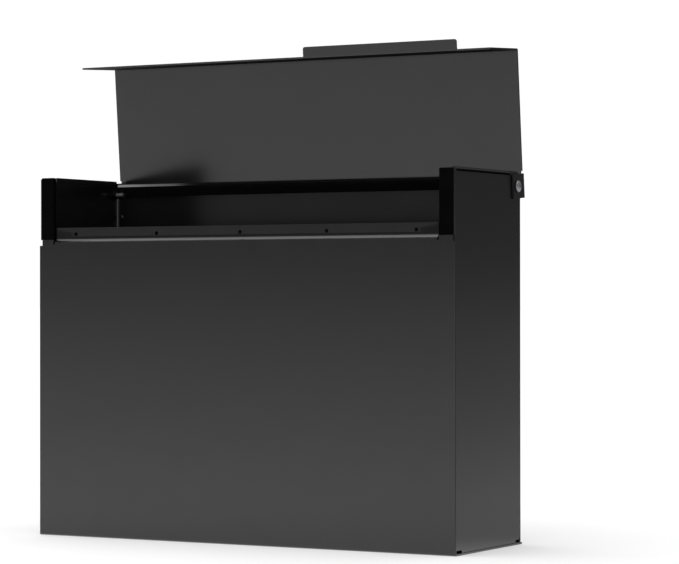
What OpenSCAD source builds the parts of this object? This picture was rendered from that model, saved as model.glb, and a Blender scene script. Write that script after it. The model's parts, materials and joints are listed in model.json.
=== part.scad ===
// Sheet-steel parcel drop box for a wall, with a rear-hinged lid shown open.
// Origin: centre of the face the box stands on. +X right, +Y towards the wall, +Z up.

/* [Box] */
// Outer width over the side panels
box_w = 400; // [340:5:460]
// Depth from the front face to the rear edges of the sides
box_d = 118; // [100:1:150]
// Height of the side panels
side_h = 305; // [290:1:340]
// Height of the plain front panel, below its set-back top strip
front_h = 250.9; // [235:0.1:255]
// Sheet thickness of the body, back and lid
sheet_t = 1.5; // [1.2:0.1:1.8]
// How far the base plate runs past the rear edges of the sides
base_overhang = 4; // [3:0.5:6]
// Open gap between the base plate and the side panels
base_gap = 2.7; // [1:0.1:3]
// Outer radius of the bend between the front panel and the base
base_bend_r = 2.2; // [2:0.1:4]

/* [Top strip of the front] */
// How far the top strip is set back behind the front face
strip_setback = 3; // [2:0.5:5]
// Height of the sloping step below the strip
strip_step_h = 3.4; // [3:0.2:6]
// Height of the upright strip
strip_h = 8.9; // [7:0.1:12]
// Number of small holes along the strip
strip_holes = 5; // [3:2:7]
// Distance between neighbouring strip holes
strip_pitch = 82; // [60:1:84]
// Diameter of a strip hole
strip_hole_d = 3.4; // [2:0.2:4]

/* [Lid] */
// Width of the lid plate
lid_w = 399; // [330:1:459]
// Distance from the hinge axis to the outer face of the lip
lid_reach = 113; // [112:0.5:116]
// Depth of the folded front lip, over the plate
lip_h = 52; // [40:1:58]
// Lid plate past the hinge axis, towards the wall
lid_tail = 10; // [8:0.5:11]
// Angle of the open lid, counted from closed
lid_open = 85; // [80:1:88]
// Width of the finger tab
tab_w = 144; // [80:1:160]
// Distance of the tab's middle from the middle of the lid
tab_offset = 97; // [0:1:100]
// Length of the finger tab
tab_l = 8.2; // [6:0.1:12]

/* [Hinge] */
// Distance from the hinge axis to the rear edges of the sides
hinge_inset = 8; // [7:0.5:9]
// Depth of the hinge axis below the top of the sides
hinge_drop = 10.3; // [10:0.1:11]
// Height of the closed lid's underside over the hinge axis
lid_rise = 14; // [13.8:0.1:14.2]
// Diameter of the hinge bolts
bolt_d = 4; // [3.8:0.1:4.2]
// Length of the hinge bolts under the head
bolt_l = 16; // [14:1:20]

/* [Wall fixing] */
// Distance between the wall holes, side to side
wall_pitch_x = 340; // [240:5:350]
// Distance between the wall holes, up and down
wall_pitch_z = 200; // [150:5:205]
// Height of the lower wall holes
wall_low_z = 62; // [40:1:65]
// Diameter of the wall holes
wall_hole_d = 7; // [6:0.5:8]
// Length of the rubber spacers that keep the lid's tail off the wall
spacer_l = 10; // [10:0.5:16]

/* [Hidden] */
$fn = 64;
eps = 0.01;

steel_colour = [0.19, 0.19, 0.20];
rubber_colour = [0.04, 0.04, 0.04];
hardware_colour = [0.45, 0.45, 0.46];
nylon_colour = [0.75, 0.74, 0.70];

half_w = box_w / 2;
side_in = half_w - sheet_t;                       // inner face of a side panel
front_y = -(box_d + base_overhang) / 2;           // front face
rear_y = front_y + box_d;                         // rear edges of the sides
base_rear_y = rear_y + base_overhang;
side_low = sheet_t + base_gap;                    // lower edges of the sides
back_face_y = rear_y + sheet_t;                   // rear face of the back panel

// Bend reliefs at the top corners of the front: [width in the front, depth in the side]
relief_left = [3.1, 4.6];
relief_right = [1.6, 0.9];
relief_low = front_h - 2.9;
relief_high = front_h + 2;
side_setback_left = 2.2;                          // side's front edge beside the slot
side_setback_right = 0.5;
corner_r = 0.8;                                   // outer radius of the upright bends
side_chamfer = 3;                                 // corners at the sides' rear edges
flange_w = 8.5;                                   // rear return flanges
flange_low = 8;
flange_high = 292;
flange_fillet_r = 3.2;                            // inside the bend of a rear flange
base_angle_h = 14;                                // upstands welded inside the base
base_tab_w = 24;
base_tab_pitch = 120;
base_plate_in = 0.4;                              // base plate stops short of the side faces

post_w = 13;                                      // rubber corner posts
post_d = 4;
post_in = 0.3;                                    // post behind the front face
post_gap = 0.15;                                  // glue line between post and its sheets
post_r = 0.9;
post_top = side_h + 1.1;
tongue_in = side_in - post_w;                     // inner edge of the tongue that carries a post
slit_w = 1.6;                                     // slit between tongue and set-back strip
slit_low = front_h - 1.9;
strip_half = tongue_in - slit_w;                  // half length of the set-back strip
strip_low = front_h + strip_step_h;
shoulder = [2, 1.2];                              // where the step steepens: [depth, height]
shoulder_under = [3.17, 0.15];                    // the same on the inner face
strip_hole_z = strip_low + 3.3;

trim_t = 0.8;                                     // push-on edge trim of the sides
trim_leg = 1.5;
trim_rise = 2.1;
trim_round_r = 3.3;                               // quarter round of the outer face
trim_start_left = 22.5;                           // behind the front face
trim_start_right = side_setback_right;
trim_rear_y = rear_y - side_chamfer - 0.5;
trim_flush = 20;                                  // no outer leg over this length beside an ear

back_low = sheet_t + 0.2;
back_top = side_h - 0.6;
back_half = half_w - 0.5;
back_lip = 2.2;                                   // sloping lip, measured forward from the back
back_lip_half = side_in - 0.3;
back_bend = 1.2;
seal_t = 3;
seal_h = 7.5;
seal_half = 190;

hinge_y = rear_y - hinge_inset;
hinge_z = side_h - hinge_drop;
bolt_r = bolt_d / 2;
side_hole_r = bolt_r + 0.2;
run_gap = 0.1;                                    // end float between turning faces
bush_flange_t = 0.4;
bush_flange_r = 5;
bush_r = 3;
bush_bore_r = bolt_r + 0.06;                      // running fit on the bolt
ear_in = half_w + run_gap + bush_flange_t;        // inner face of a lid ear
ear_out = ear_in + sheet_t;
ear_hole_r = bush_r + 0.05;
ear_low = 7.8;                                    // ear below the axis with the lid closed
ear_round_r = 1.5;
ear_bend_r = 4;                                   // outside of the bend between ear and lid plate
ear_slit = 2;                                     // relief between ear and lid plate
ear_slit_in = 1.2;
head_washer_r = 5.6;
head_washer_t = 0.5;
head_washer_x = ear_out + 0.25;
bolt_head_x = head_washer_x + head_washer_t;
bolt_head_r = 4.5;
bolt_head_h = 1.6;
bolt_dome_r = 9;
socket_r = 1.44;
socket_h = 1;
inner_washer_r = 4.5;
inner_washer_t = 0.8;
nut_r = 4.04;
nut_h = 2.6;
nut_collar_r = 3.1;
nut_collar_h = 1.2;
nut_face_x = side_in - inner_washer_t;

lip_bend_r = 1.8;
lip_lean = 1.3;                                   // lip's free edge ahead of its bend

rivet_r = 1.6;
rivet_head_r = 3.2;
rivet_head_h = 1.1;
rivet_tail_r = 2.3;
rivet_tail_h = 2;
rivet_hole_r = rivet_r + 0.05;
rivet_x = side_in - flange_w + 3;
rivet_z = [for (i = [0 : 3]) 35 + i * 80];
base_rivet_z = 8;

spacer_r = 10;
pad_w = 24;
pad_x = 150;
pad_low = hinge_z - lid_tail - 0.2;
pad_h = 6.5;
// From the back panel to the inner face of the open lid's tail
pad_t = hinge_y + lid_rise * sin(lid_open) - lid_tail * cos(lid_open) - back_face_y - 0.2;

// A box between two corners
module block(a, b) {
    translate(a) cube(b - a);
}

// Extrudes a (Y, Z) outline from x0 to x1
module along_x(x0, x1) {
    translate([x0, 0, 0]) rotate([90, 0, 90]) linear_extrude(x1 - x0) children();
}

// What is cut off a square edge to leave a round of radius r, the edge running
// along X at the origin and the material lying on the +Y, +Z side
module edge_cut(r, x0, x1) {
    difference() {
        block([x0, -1, -1], [x1, r, r]);
        translate([x0 - 1, r, r]) rotate([0, 90, 0]) cylinder(r = r, h = x1 - x0 + 2);
    }
}

// The same for an upright edge, the material lying on the +X, +Y side
module upright_cut(r, z0, z1) {
    difference() {
        block([-1, -1, z0], [r, r, z1]);
        translate([r, r, z0 - 1]) cylinder(r = r, h = z1 - z0 + 2);
    }
}

// Draws its children on both sides of the box
module both_sides() {
    children();
    mirror([1, 0, 0]) children();
}

// Puts the children's z axis on the hinge axis, pointing to the right
module on_hinge(x) {
    translate([x, hinge_y, hinge_z]) rotate([0, 90, 0]) children();
}

module wall_places() {
    for (sx = [-1, 1], row = [0, 1])
        translate([sx * wall_pitch_x / 2, 0, wall_low_z + row * wall_pitch_z]) children();
}

// Front panel with its bend into the base, sloping step and set-back strip
module front_sheet() {
    relief_l = -half_w + relief_left[0];
    relief_r = half_w - relief_right[0];
    difference() {
        block([-half_w, front_y, 0], [half_w, front_y + sheet_t, relief_low]);
        translate([0, front_y, 0]) edge_cut(base_bend_r, -half_w - 1, half_w + 1);
    }
    block([relief_l, front_y, relief_low - eps], [relief_r, front_y + sheet_t, slit_low]);
    block([relief_l, front_y, slit_low - eps], [-tongue_in, front_y + sheet_t, relief_high]);
    block([tongue_in, front_y, slit_low - eps], [relief_r, front_y + sheet_t, relief_high]);
    along_x(-strip_half, strip_half) polygon([
        [front_y, slit_low - eps],
        [front_y, front_h],
        [front_y + shoulder[0], front_h + shoulder[1]],
        [front_y + strip_setback, strip_low],
        [front_y + strip_setback, strip_low + strip_h],
        [front_y + strip_setback + sheet_t, strip_low + strip_h],
        [front_y + strip_setback + sheet_t, strip_low - 0.33],
        [front_y + shoulder_under[0], front_h + shoulder_under[1]],
        [front_y + sheet_t, front_h - 0.85],
        [front_y + sheet_t, slit_low - eps]
    ]);
}

module strip_hole_cuts() {
    for (i = [0 : strip_holes - 1])
        translate([(i - (strip_holes - 1) / 2) * strip_pitch, front_y, strip_hole_z])
            rotate([-90, 0, 0]) cylinder(d = strip_hole_d, h = strip_setback + sheet_t + 5);
}

// Outline of a side panel in (Y, Z)
module side_outline(setback, relief) {
    polygon([
        [front_y, side_low],
        [rear_y - side_chamfer, side_low],
        [rear_y, side_low + side_chamfer],
        [rear_y, side_h - side_chamfer],
        [rear_y - side_chamfer, side_h],
        [front_y + setback, side_h],
        [front_y + setback, relief_high],
        [front_y + relief, relief_high],
        [front_y + relief, relief_low],
        [front_y, relief_low]
    ]);
}

module base_plate() {
    plate_half = half_w - base_plate_in;
    difference() {
        block([-plate_half, front_y, 0], [plate_half, base_rear_y, sheet_t]);
        translate([0, front_y, 0]) edge_cut(base_bend_r, -half_w, half_w);
    }
    both_sides()
        block([side_in - sheet_t, front_y + 14, 0.5], [side_in + eps, rear_y - 6, base_angle_h]);
    for (i = [-1 : 1])
        translate([i * base_tab_pitch, 0, 0])
            block([-base_tab_w / 2, rear_y - sheet_t, 0.5], [base_tab_w / 2, rear_y, base_angle_h]);
}

module rear_flanges() {
    both_sides() {
        block([side_in - flange_w, rear_y - sheet_t, flange_low], [side_in + eps, rear_y, flange_high]);
        translate([side_in, rear_y - sheet_t, 0]) rotate([0, 0, 180])
            upright_cut(flange_fillet_r, flange_low, flange_high);
    }
}

module body_shell() {
    color(steel_colour)
    difference() {
        union() {
            front_sheet();
            base_plate();
            rear_flanges();
            along_x(-half_w, -side_in) side_outline(side_setback_left, relief_left[1]);
            along_x(side_in, half_w) side_outline(side_setback_right, relief_right[1]);
        }
        both_sides() translate([-half_w, front_y, 0]) upright_cut(corner_r, -1, relief_low);
        strip_hole_cuts();
        both_sides() on_hinge(side_in - 1) cylinder(r = side_hole_r, h = sheet_t + 2);
        rivet_places() rivet_hole();
    }
}

// Back panel with a lip along its top that slopes down towards the front
module back_panel() {
    lip_side = sheet_t / sqrt(2);                 // the sheet's thickness along Y and along Z
    lip_drop = 2 * lip_side + 0.5;
    color(steel_colour)
    difference() {
        union() {
            block([-back_half, rear_y, back_low], [back_half, back_face_y, back_top - lip_drop]);
            along_x(-back_lip_half, back_lip_half) polygon([
                [back_face_y, back_top - lip_drop - eps],
                [back_face_y, back_top - back_bend],
                [back_face_y - back_bend / 2, back_top - back_bend / 4],
                [rear_y, back_top],
                [rear_y - back_lip, back_top - back_lip],
                [rear_y - back_lip + lip_side, back_top - back_lip - lip_side],
                [rear_y, back_top - 2 * lip_side],
                [rear_y, back_top - lip_drop - eps]
            ]);
        }
        wall_places() translate([0, rear_y - 1, 0]) rotate([-90, 0, 0])
            cylinder(d = wall_hole_d, h = sheet_t + 2);
        rivet_places() rivet_hole();
    }
}

// Places along the two rear flanges and on the base tabs, at the back panel's rear face
module rivet_places() {
    for (sx = [-1, 1], z = rivet_z)
        translate([sx * rivet_x, back_face_y, z]) children();
    for (i = [-1 : 1])
        translate([i * base_tab_pitch, back_face_y, base_rivet_z]) children();
}

module rivet_hole() {
    translate([0, 1, 0]) rotate([90, 0, 0]) cylinder(r = rivet_hole_r, h = 2 * sheet_t + 3);
}

// Blind rivet: domed head outside, swollen tail inside
module rivet() {
    head_sphere_r = (pow(rivet_head_r, 2) + pow(rivet_head_h, 2)) / (2 * rivet_head_h);
    rotate([90, 0, 0]) {
        translate([0, 0, -eps]) cylinder(r = rivet_r, h = 2 * sheet_t + 0.5);
        translate([0, 0, 2 * sheet_t]) cylinder(r = rivet_tail_r, h = rivet_tail_h);
        intersection() {
            translate([0, 0, -rivet_head_h]) cylinder(r = rivet_head_r, h = rivet_head_h);
            translate([0, 0, head_sphere_r - rivet_head_h]) sphere(r = head_sphere_r);
        }
    }
}

module panel_rivets() {
    color(hardware_colour) rivet_places() rivet();
}

// Rubber post beside the slot, drawn for the right-hand corner
module corner_post() {
    x1 = side_in - post_gap;
    x0 = x1 - post_w;
    y0 = front_y + post_in;
    y1 = y0 + post_d;
    color(rubber_colour)
    difference() {
        block([x0, y0, relief_high + post_gap], [x1, y1, post_top]);
        translate([x0, y0, 0]) upright_cut(post_r, 0, post_top + 1);
        translate([x1, y0, 0]) mirror([1, 0, 0]) upright_cut(post_r, 0, post_top + 1);
        translate([0, y0, post_top]) mirror([0, 0, 1]) edge_cut(post_r, x0 - 1, x1 + 1);
    }
}

module corner_post_right() { corner_post(); }
module corner_post_left() { mirror([1, 0, 0]) corner_post(); }

// Push-on trim over a side's top edge, drawn for the right-hand side
module side_trim(start) {
    y0 = front_y + start;
    y1 = trim_rear_y;
    clear = 0.05;                                 // round the sheet's top edge
    x0 = side_in - clear - trim_t;
    x1 = half_w + clear + trim_t;
    low = side_h - trim_leg;
    top = side_h + trim_rise;
    color(rubber_colour)
    difference() {
        intersection() {
            block([x0, y0, low], [x1, y1, top]);
            union() {
                block([x0, y0, low], [x1, y1, top - trim_round_r]);
                translate([x1 - trim_round_r, y0, top - trim_round_r]) rotate([-90, 0, 0])
                    cylinder(r = trim_round_r, h = y1 - y0);
            }
        }
        block([side_in - clear, y0 - 1, 0], [half_w + clear, y1 + 1, side_h + clear]);
        block([0, front_y, 0], [side_in, front_y + post_in + post_d + post_gap, post_top + post_gap]);
        block([half_w, rear_y - trim_flush, 0], [half_w + 5, rear_y, side_h + 5]);
    }
}

module side_trim_right() { side_trim(trim_start_right); }
module side_trim_left() { mirror([1, 0, 0]) side_trim(trim_start_left); }

// Foam seal under the back panel's sloping lip
module rear_seal() {
    top = back_top - back_lip - sheet_t / sqrt(2) - 0.2;
    color(rubber_colour)
        block([-seal_half, rear_y - seal_t, top - seal_h], [seal_half, rear_y, top]);
}

module wall_spacers() {
    color(rubber_colour)
    wall_places() translate([0, back_face_y, 0]) rotate([-90, 0, 0])
    difference() {
        cylinder(r = spacer_r, h = spacer_l);
        translate([0, 0, -1]) cylinder(d = wall_hole_d, h = spacer_l + 2);
    }
}

// Rubber pads that the lid's tail comes to rest on
module lid_stop_pads() {
    color(rubber_colour)
    both_sides()
        block([pad_x - pad_w / 2, back_face_y, pad_low], [pad_x + pad_w / 2, back_face_y + pad_t, pad_low + pad_h]);
}

// Button-head bolt, drawn for the right-hand side
module pivot_bolt() {
    color(hardware_colour)
    difference() {
        union() {
            on_hinge(bolt_head_x - bolt_l) cylinder(r = bolt_r, h = bolt_l + eps);
            intersection() {
                on_hinge(bolt_head_x) cylinder(r = bolt_head_r, h = bolt_head_h);
                on_hinge(bolt_head_x + bolt_head_h - bolt_dome_r) sphere(r = bolt_dome_r);
            }
        }
        on_hinge(bolt_head_x + bolt_head_h - socket_h) cylinder(r = socket_r, h = 5, $fn = 6);
    }
}

module washer(x, t, outer_r) {
    difference() {
        on_hinge(x) cylinder(r = outer_r, h = t);
        on_hinge(x - 1) cylinder(r = bolt_r + 0.15, h = t + 2);
    }
}

module head_washer() {
    color(rubber_colour) washer(head_washer_x, head_washer_t, head_washer_r);
}

module inner_washer() {
    color(hardware_colour) washer(nut_face_x, inner_washer_t, inner_washer_r);
}

module lock_nut() {
    color(hardware_colour)
    difference() {
        union() {
            on_hinge(nut_face_x - nut_h) rotate([0, 0, 30]) cylinder(r = nut_r, h = nut_h, $fn = 6);
            on_hinge(nut_face_x - nut_h - nut_collar_h) cylinder(r = nut_collar_r, h = nut_collar_h + eps);
        }
        on_hinge(nut_face_x - 2 * nut_h) cylinder(r = bolt_r + 0.05, h = 3 * nut_h);
    }
}

// Flanged nylon bush, pressed into the ear and turning on the bolt
module pivot_bush() {
    x0 = half_w + run_gap;
    color(nylon_colour)
    difference() {
        union() {
            on_hinge(x0) cylinder(r = bush_flange_r, h = bush_flange_t);
            on_hinge(x0) cylinder(r = bush_r, h = ear_out + 0.2 - x0);
        }
        on_hinge(x0 - 1) cylinder(r = bush_bore_r, h = 10);
    }
}

module pivot_bolt_right() { pivot_bolt(); }
module pivot_bolt_left() { mirror([1, 0, 0]) pivot_bolt(); }
module head_washer_right() { head_washer(); }
module head_washer_left() { mirror([1, 0, 0]) head_washer(); }
module inner_washer_right() { inner_washer(); }
module inner_washer_left() { mirror([1, 0, 0]) inner_washer(); }
module lock_nut_right() { lock_nut(); }
module lock_nut_left() { mirror([1, 0, 0]) lock_nut(); }
module pivot_bush_right() { pivot_bush(); }
module pivot_bush_left() { mirror([1, 0, 0]) pivot_bush(); }

// One ear of the lid, closed, with the hinge axis at the origin
module lid_ear() {
    difference() {
        block([ear_in, -lid_tail, -ear_low], [ear_out, lid_tail, lid_rise + eps]);
        translate([0, lid_tail, -ear_low]) mirror([0, 1, 0])
            edge_cut(ear_round_r, ear_in - 1, ear_out + 1);
        translate([ear_in - 1, 0, 0]) rotate([0, 90, 0]) cylinder(r = ear_hole_r, h = sheet_t + 2);
    }
}

// The lid, closed, with the hinge axis along X at the origin
module closed_lid() {
    half = lid_w / 2;
    top = lid_rise + sheet_t;
    lip_low = top - lip_h;
    tab_x0 = tab_offset - tab_w / 2;
    tab_x1 = tab_offset + tab_w / 2;
    lip_y = -lid_reach - lip_lean;                // outer face at the lip's free edge
    difference() {
        union() {
            block([-half, -lid_reach, lid_rise], [half, -lid_tail - ear_slit, top]);
            block([-half + ear_slit_in, -lid_tail - ear_slit - eps, lid_rise],
                  [half - ear_slit_in, -lid_tail + eps, top]);
            block([-ear_out, -lid_tail, lid_rise], [ear_out, lid_tail, top]);
            along_x(-half, half) polygon([
                [-lid_reach, top],
                [lip_y, lip_low],
                [lip_y + sheet_t, lip_low],
                [-lid_reach + sheet_t, lid_rise],
                [-lid_reach + sheet_t, top]
            ]);
            block([tab_x0, lip_y - tab_l, lip_low], [tab_x1, lip_y + 0.1, lip_low + sheet_t]);
            both_sides() lid_ear();
            both_sides() translate([ear_in, 0, lid_rise]) rotate([0, 0, 90])
                mirror([0, 0, 1]) edge_cut(ear_bend_r - sheet_t, -lid_tail, lid_tail);
        }
        translate([0, -lid_reach, top]) mirror([0, 0, 1]) edge_cut(lip_bend_r, -half - 1, half + 1);
        translate([0, lip_y + sheet_t, lip_low]) mirror([0, 1, 0])
            edge_cut(corner_r, tab_x0, tab_x1);
        both_sides() translate([ear_out, 0, top]) rotate([0, 0, 90]) mirror([0, 0, 1])
            edge_cut(ear_bend_r, -lid_tail - 1, lid_tail + 1);
        for (x = [tab_x0, tab_x1])
            translate([x, lip_y - tab_l, lip_low - 1])
                mirror([x == tab_x1 ? 1 : 0, 0, 0]) upright_cut(2, 0, 5);
    }
}

module lid() {
    color(steel_colour)
        translate([0, hinge_y, hinge_z]) rotate([-lid_open, 0, 0]) closed_lid();
}

body_shell();
back_panel();
panel_rivets();
corner_post_left();
corner_post_right();
side_trim_left();
side_trim_right();
rear_seal();
wall_spacers();
lid_stop_pads();
pivot_bolt_left();
pivot_bolt_right();
head_washer_left();
head_washer_right();
inner_washer_left();
inner_washer_right();
lock_nut_left();
lock_nut_right();
lid();
pivot_bush_left();
pivot_bush_right();
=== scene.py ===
import json
import math

import bmesh
import bpy
from mathutils import Matrix, Vector


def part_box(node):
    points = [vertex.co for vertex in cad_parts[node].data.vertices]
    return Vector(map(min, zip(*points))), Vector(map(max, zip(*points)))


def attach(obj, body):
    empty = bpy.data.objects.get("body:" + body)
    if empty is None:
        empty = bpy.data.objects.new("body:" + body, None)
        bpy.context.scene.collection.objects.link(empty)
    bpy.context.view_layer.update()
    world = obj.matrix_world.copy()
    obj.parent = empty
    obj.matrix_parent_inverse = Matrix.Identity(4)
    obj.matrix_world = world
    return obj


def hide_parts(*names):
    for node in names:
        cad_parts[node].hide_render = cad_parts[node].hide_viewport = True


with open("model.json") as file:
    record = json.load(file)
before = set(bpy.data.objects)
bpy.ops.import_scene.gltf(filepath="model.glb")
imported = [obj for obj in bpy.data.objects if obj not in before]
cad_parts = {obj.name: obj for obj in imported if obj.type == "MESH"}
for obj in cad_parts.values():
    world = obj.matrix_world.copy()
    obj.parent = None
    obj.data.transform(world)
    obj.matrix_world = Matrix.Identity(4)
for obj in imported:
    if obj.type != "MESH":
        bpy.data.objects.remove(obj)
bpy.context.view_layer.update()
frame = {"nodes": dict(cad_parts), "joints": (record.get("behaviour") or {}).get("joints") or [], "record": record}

# A parcel drop box of folded, powder-coated sheet steel, standing on a white studio floor with its
# lid open. Everything is in metres, in the CAD model's frame: +X right, +Y to the wall, +Z up.

MM = 0.001
NODES = frame["nodes"]
BODIES = frame["record"]["behaviour"]["bodies"]
BODY_OF = {node: body for body, nodes in BODIES.items() for node in nodes}
SLOT_OF = {part["node"]: part["material_slot"] for part in frame["record"]["subparts"]}
HINGE = Vector(frame["joints"][0]["pos_m"])

# Sizes shared by several pieces
WELD = 0.002 * MM                                 # CAD points closer than this are one
COAT_EDGE = 0.22 * MM                             # rounding of a coated sheet's cut edges
TRIM_EDGE = 0.2 * MM
WASHER_BORE = 2.15 * MM                           # radius
WASHER_CUT = 0.12 * MM                            # chamfer of a washer's rim

# Directions over the floor
BACK_WAY = (0.5, 0.86, 0)                         # to the wall and a little to the right
RIGHT_WAY = (0.86, 0.5, 0)                        # to the right and a little to the wall
SCREEN_WAY = (0.85, -0.53, 0)                     # to the front right

# Brightness of the studio, where 1 is display white
ROOM_SEEN = 1.02                                  # as the camera sees it
ROOM_WALL = 0.04
ROOM_CEILING = 0.5
ROOM_BACK = 0.06                                  # added on the wall, most along BACK_WAY
SIDE_SCREEN = 1.5                                 # upright screen along SCREEN_WAY
SUN = 3.0
FLOOR_SEEN = 0.28                                 # floor's own light as the camera sees it
# The floor's light as the box sees it is the lower of two profiles of (distance in metres, light),
# the first along BACK_WAY and the second along RIGHT_WAY
FLOOR_FRONT = ((-2.6, 1.0), (-0.5, 1.4), (-0.12, 1.1))
FLOOR_RIGHT = ((0.1, 1.4), (0.26, 0.36), (0.6, 0.36), (1.5, 0.2), (3.0, 0.07))

CAMERA_PLACE = (1.1484, -1.9335, 0.2068)
CAMERA_TURN = (90.247, 0.0532, 29.345)            # degrees round X, Y and Z
CAMERA_LENS = 141.5                               # mm, on a sensor 36 mm wide


# ---------------------------------------------------------------- node helpers

def new_material(name):
    """A new material, its node tree and its Principled shader."""
    mat = bpy.data.materials.new(name)
    mat.use_nodes = True
    tree = mat.node_tree
    return mat, tree, tree.nodes["Principled BSDF"]


def add_node(tree, kind, **settings):
    """A node with its inputs, or else its properties, set by name."""
    node = tree.nodes.new(kind)
    for key, value in settings.items():
        if key in node.inputs:
            node.inputs[key].default_value = value
        else:
            setattr(node, key.lower(), value)
    return node


def object_coords(tree, stretch=(1, 1, 1)):
    """Object coordinates in metres, stretched along the axes."""
    coords = add_node(tree, "ShaderNodeTexCoord")
    mapping = add_node(tree, "ShaderNodeMapping")
    mapping.inputs["Scale"].default_value = stretch
    tree.links.new(coords.outputs["Object"], mapping.inputs["Vector"])
    return mapping.outputs["Vector"]


def noise(tree, vector, scale, detail=2.0, rough=0.5):
    """Noise with about scale features to the metre."""
    node = add_node(tree, "ShaderNodeTexNoise", Scale=scale, Detail=detail, Roughness=rough)
    tree.links.new(vector, node.inputs["Vector"])
    return node.outputs["Fac"]


def cells(tree, vector, scale):
    """Distance to the middle of the nearest cell, with about scale cells to the metre."""
    node = add_node(tree, "ShaderNodeTexVoronoi", Scale=scale)
    tree.links.new(vector, node.inputs["Vector"])
    return node.outputs["Distance"]


def spread(tree, factor, low, high, low_in=0.3, high_in=0.7):
    """Maps a factor between low_in and high_in onto low..high."""
    node = add_node(tree, "ShaderNodeMapRange")
    for key, value in (("From Min", low_in), ("From Max", high_in), ("To Min", low), ("To Max", high)):
        node.inputs[key].default_value = value
    tree.links.new(factor, node.inputs["Value"])
    return node.outputs["Result"]


def combined(tree, operation, first, second):
    """Two values joined by a sum, a minimum or the like."""
    node = add_node(tree, "ShaderNodeMath", operation=operation)
    tree.links.new(first, node.inputs[0])
    tree.links.new(second, node.inputs[1])
    return node.outputs["Value"]


def profile(tree, factor, stops):
    """A piecewise linear function of a factor through (position, value) stops."""
    total = None
    for (start, value), (end, next_value) in zip(stops, stops[1:]):
        first = value if total is None else 0
        step = spread(tree, factor, first, first + next_value - value, start, end)
        total = step if total is None else combined(tree, "ADD", total, step)
    return total


def reach(tree, vector, direction):
    """How far a vector reaches along a direction."""
    node = add_node(tree, "ShaderNodeVectorMath", operation="DOT_PRODUCT")
    node.inputs[1].default_value = direction
    tree.links.new(vector, node.inputs[0])
    return node.outputs["Value"]


def two_tones(tree, factor, tone, dark, light):
    """A colour between dark and light times the tone."""
    node = add_node(tree, "ShaderNodeMix", data_type="RGBA")
    node.inputs["A"].default_value = (*[c * dark for c in tone], 1)
    node.inputs["B"].default_value = (*[c * light for c in tone], 1)
    tree.links.new(factor, node.inputs["Factor"])
    return node.outputs["Result"]


def bump(tree, height, depth, strength, under=None):
    """A normal bent by a height of depth metres, over another bump where one is given."""
    node = add_node(tree, "ShaderNodeBump", Strength=strength, Distance=depth)
    tree.links.new(height, node.inputs["Height"])
    if under is not None:
        tree.links.new(under, node.inputs["Normal"])
    return node.outputs["Normal"]


def dress(tree, shader, colour, roughness, normal):
    """Feeds what varies over the surface into the shader."""
    tree.links.new(colour, shader.inputs["Base Color"])
    tree.links.new(roughness, shader.inputs["Roughness"])
    tree.links.new(normal, shader.inputs["Normal"])


# ---------------------------------------------------------------- materials

def powder_coat(name, tone, smooth=0.185, shine=0.5):
    """Satin black powder coat: orange peel about 1 mm across over a slow drift of tone and gloss."""
    mat, tree, shader = new_material(name)
    where = object_coords(tree)
    drift = spread(tree, noise(tree, where, scale=9, detail=3), 0, 1)
    gloss = noise(tree, where, scale=45, detail=3)
    grain = noise(tree, where, scale=2600)
    peel = noise(tree, where, scale=750, rough=0.45)
    dress(tree, shader, colour=two_tones(tree, drift, tone, dark=0.95, light=1.05),
          roughness=spread(tree, gloss, smooth, smooth + 0.02),
          normal=bump(tree, peel, 0.006 * MM, 0.5, under=bump(tree, grain, 0.002 * MM, 0.5)))
    shader.inputs["IOR"].default_value = 1.5
    shader.inputs["Specular IOR Level"].default_value = shine
    return mat


def moulded_rubber(name, tone, rough, skin_depth, shine):
    """Matte black rubber with a faint moulded skin and dusty patches."""
    mat, tree, shader = new_material(name)
    where = object_coords(tree)
    patches = spread(tree, noise(tree, where, scale=60, detail=4), 0, 1)
    wear = noise(tree, where, scale=200)
    skin = noise(tree, where, scale=1800, detail=3)
    dress(tree, shader, colour=two_tones(tree, patches, tone, dark=0.8, light=1.3),
          roughness=spread(tree, wear, rough - 0.05, rough + 0.05),
          normal=bump(tree, skin, skin_depth, 0.7))
    shader.inputs["IOR"].default_value = 1.45
    shader.inputs["Specular IOR Level"].default_value = shine
    return mat


def cell_foam(name, tone):
    """Closed-cell foam: cut cells about half a millimetre across."""
    mat, tree, shader = new_material(name)
    pores = cells(tree, object_coords(tree), scale=1900)
    dress(tree, shader, colour=two_tones(tree, pores, tone, dark=1, light=1.8),
          roughness=spread(tree, pores, 0.85, 0.98, low_in=0.0, high_in=0.8),
          normal=bump(tree, pores, 0.12 * MM, 0.8))
    shader.inputs["Specular IOR Level"].default_value = 0.05
    return mat


def zinc_plate(name, tone, rough):
    """Zinc plating with fine turned lines round the hinge axis."""
    mat, tree, shader = new_material(name)
    turned = noise(tree, object_coords(tree, stretch=(1, 6, 6)), scale=420, detail=3)
    cloud = spread(tree, noise(tree, object_coords(tree), scale=240, detail=3), 0, 1)
    dress(tree, shader, colour=two_tones(tree, cloud, tone, dark=0.75, light=1.2),
          roughness=spread(tree, turned, rough - 0.08, rough + 0.1),
          normal=bump(tree, turned, 0.01 * MM, 0.5))
    shader.inputs["Metallic"].default_value = 0.9
    return mat


def nylon(name, tone):
    """Moulded nylon with a fine even grain."""
    mat, tree, shader = new_material(name)
    where = object_coords(tree)
    dress(tree, shader, colour=two_tones(tree, noise(tree, where, scale=300), tone, dark=0.85, light=1),
          roughness=spread(tree, noise(tree, where, scale=900), 0.42, 0.55),
          normal=bump(tree, noise(tree, where, scale=2200), 0.01 * MM, 0.6))
    return mat


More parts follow.
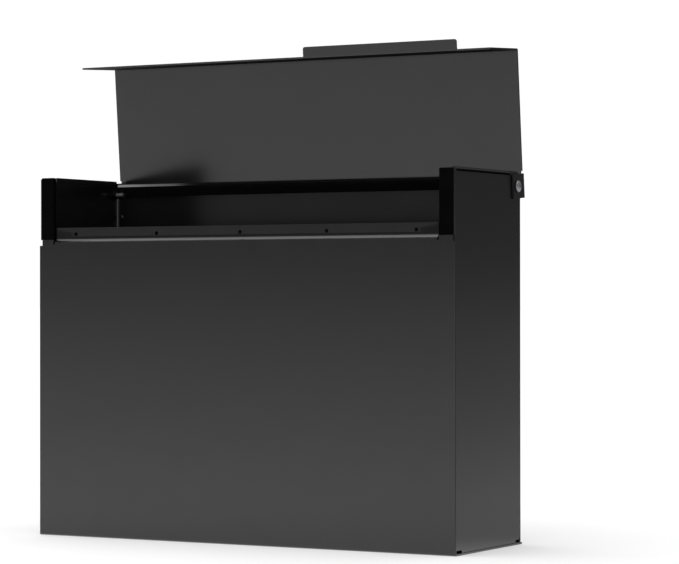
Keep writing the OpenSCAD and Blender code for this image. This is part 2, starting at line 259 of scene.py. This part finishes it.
MATERIALS = {
    "coated_steel": powder_coat("powder_coat", (0.0065, 0.0065, 0.0067)),
    "rivets": powder_coat("rivet_coat", (0.011, 0.011, 0.0115)),
    "black_rubber": moulded_rubber("moulded_rubber", (0.0012, 0.0012, 0.00125), 0.7, 0.02 * MM, 0.02),
    "edge_trim": moulded_rubber("trim_rubber", (0.007, 0.007, 0.0072), 0.36, 0.006 * MM, 0.3),
    "seal_foam": cell_foam("seal_foam", (0.001, 0.001, 0.001)),
    "black_zinc_hardware": zinc_plate("dark_zinc", (0.42, 0.42, 0.44), 0.34),
    "nylon": nylon("black_nylon", (0.02, 0.02, 0.021)),
}
# Second tones within a slot: darker copies that paint shade, and one lighter copy that paints a highlight
# near-black, dull coat for the underside of the open lid's lip: painted shade
UNDERSIDE_SHADE_COAT = powder_coat("underside_shade_coat", (0.001, 0.001, 0.001), 0.85, 0.1)
# lighter, glossier rubber for the trim's front end face: a painted highlight
END_HIGHLIGHT_RUBBER = moulded_rubber("end_highlight_rubber", (0.07, 0.07, 0.07), 0.25, 0.002 * MM, 0.8)
# near-black rubber for the trim's lower lips: painted shade of the gap under the trim
GAP_SHADE_RUBBER = moulded_rubber("gap_shade_rubber", (0.0006, 0.0006, 0.0006), 0.8, 0.006 * MM, 0.02)
# darker zinc for the bolt's threaded end inside the box: painted shade
INNER_SHADE_ZINC = zinc_plate("inner_shade_zinc", (0.16, 0.16, 0.165), 0.4)
# near-black zinc for the nut and inner washer inside the box: painted shade
DEEP_SHADE_ZINC = zinc_plate("deep_shade_zinc", (0.02, 0.02, 0.021), 0.45)


# ---------------------------------------------------------------- mesh helpers

def link_mesh(name, bm, smooth_angle=40):
    """Makes an object of a bmesh, smooth but for edges sharper than smooth_angle degrees."""
    bmesh.ops.recalc_face_normals(bm, faces=bm.faces)
    for face in bm.faces:
        face.smooth = True
    for edge in bm.edges:
        if len(edge.link_faces) == 2 and edge.calc_face_angle() > math.radians(smooth_angle):
            edge.smooth = False
    mesh = bpy.data.meshes.new(name)
    bm.to_mesh(mesh)
    bm.free()
    obj = bpy.data.objects.new(name, mesh)
    bpy.context.scene.collection.objects.link(obj)
    weigh = obj.modifiers.new("even_shading", "WEIGHTED_NORMAL")
    weigh.keep_sharp = True
    seen = obj.evaluated_get(bpy.context.evaluated_depsgraph_get())
    obj.data = bpy.data.meshes.new_from_object(seen)
    obj.modifiers.clear()
    return obj


def stand_for(obj, node, material=None):
    """The piece takes a CAD node's place and body, and the material of its slot unless one is given."""
    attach(obj, BODY_OF[node])
    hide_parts(node)
    obj.data.materials.clear()
    obj.data.materials.append(material or MATERIALS[SLOT_OF[node]])


def softened(node, width, sharpest=35):
    """A CAD sheet part with its edges and corners rounded where they turn by over sharpest degrees."""
    bm = bmesh.new()
    bm.from_mesh(NODES[node].data)
    bmesh.ops.remove_doubles(bm, verts=bm.verts, dist=WELD)
    bmesh.ops.dissolve_limit(bm, angle_limit=math.radians(0.4), verts=bm.verts, edges=bm.edges)
    sharp = [e for e in bm.edges
             if len(e.link_faces) == 2 and e.calc_face_angle() > math.radians(sharpest)]
    bmesh.ops.bevel(bm, geom=sharp, offset=width, offset_type="OFFSET", segments=2,
                    profile=0.5, affect="EDGES", clamp_overlap=True)
    obj = link_mesh(node + "_coated", bm, 46)
    stand_for(obj, node)
    return obj


def rounded_box(name, low, high, radius):
    """A box with every edge rounded."""
    bm = bmesh.new()
    bmesh.ops.create_cube(bm, size=1)
    size = Vector(high) - Vector(low)
    middle = (Vector(high) + Vector(low)) / 2
    bmesh.ops.transform(bm, matrix=Matrix.Translation(middle) @ Matrix.Diagonal((*size, 1)), verts=bm.verts)
    bmesh.ops.bevel(bm, geom=bm.edges[:], offset=radius, segments=4, profile=0.5, affect="EDGES")
    return link_mesh(name, bm, 50)


def bridge(bm, rings):
    """Walls between closed rings of points that follow one another."""
    for here, there in zip(rings, rings[1:]):
        for k in range(len(here)):
            bm.faces.new((here[k - 1], here[k], there[k], there[k - 1]))


def revolve(bm, outline, place, segments=48):
    """Turns an outline of (along, radius) points round the z axis of place."""
    rings = []
    for i in range(segments):
        turn = 2 * math.pi * i / segments
        rings.append([bm.verts.new(place @ Vector((r * math.cos(turn), r * math.sin(turn), a)))
                      for a, r in outline])
    for i in range(segments):
        here, there = rings[i], rings[(i + 1) % segments]
        for j in range(len(outline) - 1):
            bm.faces.new((here[j], here[j + 1], there[j + 1], there[j]))
    bmesh.ops.remove_doubles(bm, verts=bm.verts, dist=0.001 * MM)


def chamfered_ring(length, outer, inner, cut):
    """Closed outline of a washer with its outer corners cut."""
    return [(0, inner), (0, outer - cut), (cut, outer), (length - cut, outer),
            (length, outer - cut), (length, inner), (0, inner)]


def along_hinge(x, side):
    """Places z along the hinge axis, pointing away from the box, starting at x from the middle."""
    turn = Matrix.Rotation(math.radians(90 * side), 4, "Y")
    return Matrix.Translation((x * side, HINGE.y, HINGE.z)) @ turn


def node_span(node):
    """Inner and outer distance of a hinge node from the middle of the box, and its side."""
    low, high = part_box(node)
    side = 1 if low.x > 0 else -1
    return min(abs(low.x), abs(high.x)), max(abs(low.x), abs(high.x)), side


def solid_centres(node):
    """Middle of each separate solid of a CAD node."""
    bm = bmesh.new()
    bm.from_mesh(NODES[node].data)
    bmesh.ops.remove_doubles(bm, verts=bm.verts, dist=WELD)
    left = set(bm.verts)
    centres = []
    while left:
        group, edge = set(), [left.pop()]
        while edge:
            vert = edge.pop()
            group.add(vert)
            for link in vert.link_edges:
                other = link.other_vert(vert)
                if other in left:
                    left.discard(other)
                    edge.append(other)
        low = Vector([min(v.co[i] for v in group) for i in range(3)])
        high = Vector([max(v.co[i] for v in group) for i in range(3)])
        centres.append((low + high) / 2)
    bm.free()
    return sorted(centres, key=lambda c: (round(c.x, 4), round(c.z, 4)))


# ---------------------------------------------------------------- the pieces

def build_shells():
    """The coated sheets; the underside of the open lid's lip gets a near-black, dull copy of the coat, as painted
    shade.
    """
    for node in ("body_shell", "back_panel"):
        softened(node, COAT_EDGE)
    lid = softened("lid", COAT_EDGE)
    lid.data.materials.append(UNDERSIDE_SHADE_COAT)
    lip_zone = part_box("lid")[1].z - 25 * MM
    # faces under the lip get the near-black coat: painted shade
    for face in lid.data.polygons:
        if face.center.z > lip_zone and face.normal.z < -0.95:
            face.material_index = 1


def build_post(node):
    """Rubber corner post: soft upright edges and a thin moulded cap line."""
    low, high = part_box(node)
    bm = bmesh.new()
    radius = 0.9 * MM                             # of the upright edges
    cap_z = high.z - 3.2 * MM
    groove = 0.25 * MM
    sections = [(low.z, 0.25 * MM), (low.z + 0.3 * MM, 0),
                (cap_z - groove, 0), (cap_z, 0.12 * MM), (cap_z + groove, 0),
                (high.z - 0.9 * MM, 0), (high.z - 0.3 * MM, 0.2 * MM), (high.z, 0.8 * MM)]
    rings = []
    for z, pull in sections:
        left, right = low.x + pull + radius, high.x - pull - radius
        front, back = low.y + pull + radius, high.y - pull - radius
        ring = []
        for x, y, start in ((right, back, 0), (left, back, 90), (left, front, 180), (right, front, 270)):
            for k in range(7):
                turn = math.radians(start + 15 * k)
                ring.append(bm.verts.new((x + radius * math.cos(turn), y + radius * math.sin(turn), z)))
        rings.append(ring)
    bridge(bm, rings)
    bm.faces.new(rings[0])
    bm.faces.new(rings[-1])
    stand_for(link_mesh(node + "_moulded", bm, 50), node)


def build_trim(node):
    """Push-on edge trim with near-black lower lips, painted shade of the gap under it, and a lighter, glossier end
    face, a painted highlight, where it stops short of a post.
    """
    trim = softened(node, TRIM_EDGE, sharpest=30)
    trim.data.materials.append(END_HIGHLIGHT_RUBBER)
    trim.data.materials.append(GAP_SHADE_RUBBER)
    low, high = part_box(node)
    free_end = low.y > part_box("corner_post_left")[1].y
    # below this height the trim is painted near-black, as shade
    gap_shade_top = high.z - 2 * MM
    for face in trim.data.polygons:
        # the front end face gets the lighter rubber: a painted highlight
        if free_end and face.center.y < low.y + 0.1 * MM and face.normal.y < -0.9:
            face.material_index = 1
        elif face.center.z < gap_shade_top:
            face.material_index = 2


def build_seal(node):
    """Foam strip with soft edges."""
    low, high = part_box(node)
    stand_for(rounded_box(node + "_strip", low, high, 0.7 * MM), node)


def build_pads(node):
    """Rubber stop pads, one each side."""
    low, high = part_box(node)
    length = 24 * MM
    for x in (low.x, high.x - length):
        pad = rounded_box(f"{node}_{'left' if x < 0 else 'right'}",
                          (x, low.y, low.z), (x + length, high.y, high.z), 0.9 * MM)
        stand_for(pad, node)


def build_spacers(node):
    """Moulded spacers with a waist and chamfered ends."""
    low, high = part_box(node)
    bm = bmesh.new()
    radius = 10 * MM
    waist = radius - 0.9 * MM
    bore = 3.5 * MM
    front_cut, back_cut, bore_cut = 0.6 * MM, 0.8 * MM, 0.5 * MM
    depth = high.y - low.y
    outline = [(0, bore), (0, radius - front_cut), (front_cut, radius),
               (depth * 0.3, radius), (depth * 0.36, waist), (depth * 0.64, waist), (depth * 0.7, radius),
               (depth - back_cut, radius), (depth, radius - back_cut),
               (depth, bore + bore_cut), (depth - bore_cut, bore), (0, bore)]
    turn = Matrix.Rotation(math.radians(-90), 4, "X")
    for x in (low.x + radius, high.x - radius):
        for z in (low.z + radius, high.z - radius):
            revolve(bm, outline, Matrix.Translation((x, low.y, z)) @ turn, segments=64)
    stand_for(link_mesh(node + "_moulded", bm, 35), node)


def build_bolt(node):
    """Button-head bolt with a socket, a land under the head and a threaded end."""
    inner, outer, side = node_span(node)
    head_h, head_r, dome_r = 1.6 * MM, 4.5 * MM, 9 * MM
    shank_r, crest_r, root_r = 2 * MM, 1.97 * MM, 1.7 * MM
    socket_r, socket_depth = 1.42 * MM, 1 * MM
    pitch = 0.7 * MM
    threads = 14
    thread_end = threads * pitch
    top = outer - inner
    under = top - head_h
    outline = [(0, 0), (0, root_r - 0.3 * MM)]
    for i in range(threads):
        outline += [((i + 0.35) * pitch, crest_r), ((i + 0.5) * pitch, crest_r), ((i + 0.9) * pitch, root_r)]
    outline += [(thread_end + 0.4 * MM, shank_r), (under, shank_r),
                (under, head_r - 0.15 * MM), (under + 0.12 * MM, head_r), (under + 0.3 * MM, head_r)]
    for k in range(9):
        r = head_r * (0.985 - 0.585 * k / 8)
        outline.append((top - dome_r + math.sqrt(dome_r ** 2 - r ** 2), r))
    outline += [(top - 0.12 * MM, socket_r), (top - socket_depth, socket_r - 0.1 * MM),
                (top - socket_depth - 0.2 * MM, 0)]
    bm = bmesh.new()
    revolve(bm, outline, along_hinge(inner, side))
    bolt = link_mesh(node + "_turned", bm, 35)
    stand_for(bolt, node)
    # the threaded end, inside the box, gets the darker zinc: painted shade
    bolt.data.materials.append(INNER_SHADE_ZINC)
    for face in bolt.data.polygons:
        if abs(face.center.x) < inner + thread_end:
            face.material_index = 1


def build_washer(node, material=None):
    """Flat washer as wide as its CAD node."""
    inner, outer, side = node_span(node)
    low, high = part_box(node)
    outer_r = (high.z - low.z) / 2
    bm = bmesh.new()
    outline = chamfered_ring(outer - inner, outer_r, WASHER_BORE, WASHER_CUT)
    revolve(bm, outline, along_hinge(inner, side))
    stand_for(link_mesh(node + "_turned", bm, 30), node, material)


def build_bush(node):
    """Flanged bush: flange against the side panel, barrel through the ear."""
    inner, outer, side = node_span(node)
    bore, barrel, flange = 2.06 * MM, 3 * MM, 5 * MM
    flange_t = 0.4 * MM
    flange_cut, barrel_cut = 0.1 * MM, 0.2 * MM
    length = outer - inner
    outline = [(0, bore), (0, flange - flange_cut), (flange_cut, flange), (flange_t, flange),
               (flange_t, barrel), (length - barrel_cut, barrel), (length, barrel - barrel_cut),
               (length, bore), (0, bore)]
    bm = bmesh.new()
    revolve(bm, outline, along_hinge(inner, side))
    stand_for(link_mesh(node + "_turned", bm, 30), node)


def build_nut(node):
    """Lock nut: hexagon with corners turned down at both ends and a collar over its insert."""
    inner, outer, side = node_span(node)
    length = outer - inner
    flat_r = 3.5 * MM
    turned_r = flat_r + 0.15 * MM                 # to which the end faces are turned
    turned_cut = 0.25 * MM
    collar_h, collar_r, collar_cut = 1.2 * MM, 3.1 * MM, 0.3 * MM
    bore, bore_cut = 2.05 * MM, 0.5 * MM
    slope = math.tan(math.radians(30))
    steps = 12                                    # points to a flat
    place = along_hinge(inner, side)
    bm = bmesh.new()

    def hexagon(turn):
        """Distance from the axis to the hexagon's outline."""
        off = (turn + math.radians(30)) % math.radians(60) - math.radians(30)
        return flat_r / math.cos(off)

    def end_face(turn):
        return min(hexagon(turn), turned_r) - turned_cut

    def corner_drop(turn):
        return max(hexagon(turn) - turned_r + turned_cut, 0.05 * MM) * slope

    def ring(radius_at, height_at):
        points = []
        for k in range(6 * steps):
            turn = 2 * math.pi * k / (6 * steps)
            r = radius_at(turn)
            point = Vector((r * math.cos(turn), r * math.sin(turn), height_at(turn)))
            points.append(bm.verts.new(place @ point))
        return points

    def circle(radius, height):
        return ring(lambda turn: radius, lambda turn: height)

    rings = [
        circle(bore, bore_cut),
        circle(bore + bore_cut, 0),
        circle(collar_r - collar_cut, 0),
        circle(collar_r, collar_cut),
        circle(collar_r, collar_h),
        ring(end_face, lambda turn: collar_h),
        ring(hexagon, lambda turn: collar_h + corner_drop(turn)),
        ring(hexagon, lambda turn: length - corner_drop(turn)),
        ring(end_face, lambda turn: length),
        circle(bore, length),
    ]
    bridge(bm, rings + rings[:1])
    # the nut, inside the box, is painted near-black zinc, as shade
    stand_for(link_mesh(node + "_cut", bm, 28), node, DEEP_SHADE_ZINC)


def build_rivets(node):
    """Blind rivets: domed head with the pulled mandrel's dimple, swollen tail inside."""
    bm = bmesh.new()
    back_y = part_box("back_panel")[1].y
    head_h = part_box(node)[1].y - back_y
    shank_r, head_r, tail_r, dimple_r = 1.6 * MM, 3.2 * MM, 2.3 * MM, 0.95 * MM
    sheets = 3 * MM
    end = -sheets - 2 * MM
    outline = [(end, 0), (end, 1.2 * MM), (end + 0.5 * MM, tail_r - 0.3 * MM),
               (-sheets - 0.9 * MM, tail_r), (-sheets, tail_r - 0.4 * MM), (-sheets, shank_r),
               (0, shank_r), (0, head_r), (0.15 * MM, head_r),
               (head_h * 0.55, head_r * 0.8), (head_h * 0.85, head_r * 0.55), (head_h, 1.1 * MM),
               (head_h, dimple_r), (head_h - 0.6 * MM, 0.9 * MM), (head_h - 0.5 * MM, 0)]
    turn = Matrix.Rotation(math.radians(-90), 4, "X")
    for centre in solid_centres(node):
        revolve(bm, outline, Matrix.Translation((centre.x, back_y, centre.z)) @ turn, segments=24)
    stand_for(link_mesh(node + "_set", bm, 40), node)


def build_pieces():
    build_shells()
    for side in ("left", "right"):
        build_post("corner_post_" + side)
        build_trim("side_trim_" + side)
        build_bolt("pivot_bolt_" + side)
        build_washer("head_washer_" + side)
        # the inner washer, inside the box, is painted near-black zinc, as shade
        build_washer("inner_washer_" + side, DEEP_SHADE_ZINC)
        build_nut("lock_nut_" + side)
        build_bush("pivot_bush_" + side)
    build_seal("rear_seal")
    build_pads("lid_stop_pads")
    build_spacers("wall_spacers")
    build_rivets("panel_rivets")


# ---------------------------------------------------------------- studio

def studio_world():
    """White where the camera looks; for all else a dim room with a bright ceiling and a side screen."""
    world = bpy.data.worlds.new("studio")
    bpy.context.scene.world = world
    world.use_nodes = True
    tree = world.node_tree
    tree.nodes.clear()
    ways = add_node(tree, "ShaderNodeTexCoord")
    split = add_node(tree, "ShaderNodeSeparateXYZ")
    tree.links.new(ways.outputs["Generated"], split.inputs[0])
    seen = add_node(tree, "ShaderNodeBackground", Color=(1, 1, 1, 1), Strength=ROOM_SEEN)
    room = add_node(tree, "ShaderNodeBackground", Color=(1, 1, 1, 1))
    light = spread(tree, split.outputs["Z"], ROOM_WALL, ROOM_CEILING, 0.05, 0.85)
    for way, brightness, start, full in ((BACK_WAY, ROOM_BACK, 0, 1), (SCREEN_WAY, SIDE_SCREEN, 0.95, 0.98)):
        towards = reach(tree, ways.outputs["Generated"], way)
        light = combined(tree, "ADD", light, spread(tree, towards, 0, brightness, start, full))
    tree.links.new(light, room.inputs["Strength"])
    path = add_node(tree, "ShaderNodeLightPath")
    mix = add_node(tree, "ShaderNodeMixShader")
    out = add_node(tree, "ShaderNodeOutputWorld")
    tree.links.new(path.outputs["Is Camera Ray"], mix.inputs[0])
    tree.links.new(room.outputs[0], mix.inputs[1])
    tree.links.new(seen.outputs[0], mix.inputs[2])
    tree.links.new(mix.outputs[0], out.inputs[0])


def studio_floor():
    """A wide white floor whose glow keeps shadows pale and lights the box unevenly."""
    bm = bmesh.new()
    bmesh.ops.create_grid(bm, x_segments=8, y_segments=8, size=30)
    floor = link_mesh("floor", bm)
    floor.location.z = -0.02 * MM
    mat, tree, shader = new_material("white_floor")
    where = object_coords(tree)
    path = add_node(tree, "ShaderNodeLightPath")
    seen = two_tones(tree, noise(tree, where, scale=3), (1, 1, 1), dark=0.6, light=0.62)
    paint = add_node(tree, "ShaderNodeMix", data_type="RGBA")
    paint.inputs["A"].default_value = (0.22, 0.22, 0.22, 1)
    tree.links.new(path.outputs["Is Camera Ray"], paint.inputs["Factor"])
    tree.links.new(seen, paint.inputs["B"])
    tree.links.new(paint.outputs["Result"], shader.inputs["Base Color"])
    bounced = combined(tree, "MINIMUM", profile(tree, reach(tree, where, BACK_WAY), FLOOR_FRONT),
                       profile(tree, reach(tree, where, RIGHT_WAY), FLOOR_RIGHT))
    glow = add_node(tree, "ShaderNodeMix", data_type="FLOAT")
    glow.inputs["B"].default_value = FLOOR_SEEN
    tree.links.new(path.outputs["Is Camera Ray"], glow.inputs["Factor"])
    tree.links.new(bounced, glow.inputs["A"])
    tree.links.new(glow.outputs["Result"], shader.inputs["Emission Strength"])
    shader.inputs["Roughness"].default_value = 0.9
    shader.inputs["Specular IOR Level"].default_value = 0.0
    shader.inputs["Emission Color"].default_value = (1, 1, 1, 1)
    floor.data.materials.append(mat)


def studio_light():
    """A broad soft sun nearly overhead, leaning to the left."""
    data = bpy.data.lights.new("front_softbox", "SUN")
    data.energy = SUN
    data.angle = math.radians(85)
    light = bpy.data.objects.new("front_softbox", data)
    light.rotation_euler = (math.radians(12), 0, math.radians(-70))
    bpy.context.scene.collection.objects.link(light)


def studio_camera():
    """A long lens at the front right, level with the upper half of the box."""
    data = bpy.data.cameras.new("camera")
    data.sensor_width = 36
    data.lens = CAMERA_LENS
    data.clip_start = 0.05
    data.clip_end = 100
    camera = bpy.data.objects.new("camera", data)
    camera.location = CAMERA_PLACE
    camera.rotation_euler = [math.radians(angle) for angle in CAMERA_TURN]
    bpy.context.scene.collection.objects.link(camera)
    bpy.context.scene.camera = camera


def set_colour_handling():
    view = bpy.context.scene.view_settings
    view.view_transform = "Standard"
    view.look = "None"
    view.exposure = 0
    view.gamma = 1


set_colour_handling()
studio_camera()
studio_world()
studio_floor()
studio_light()
build_pieces()
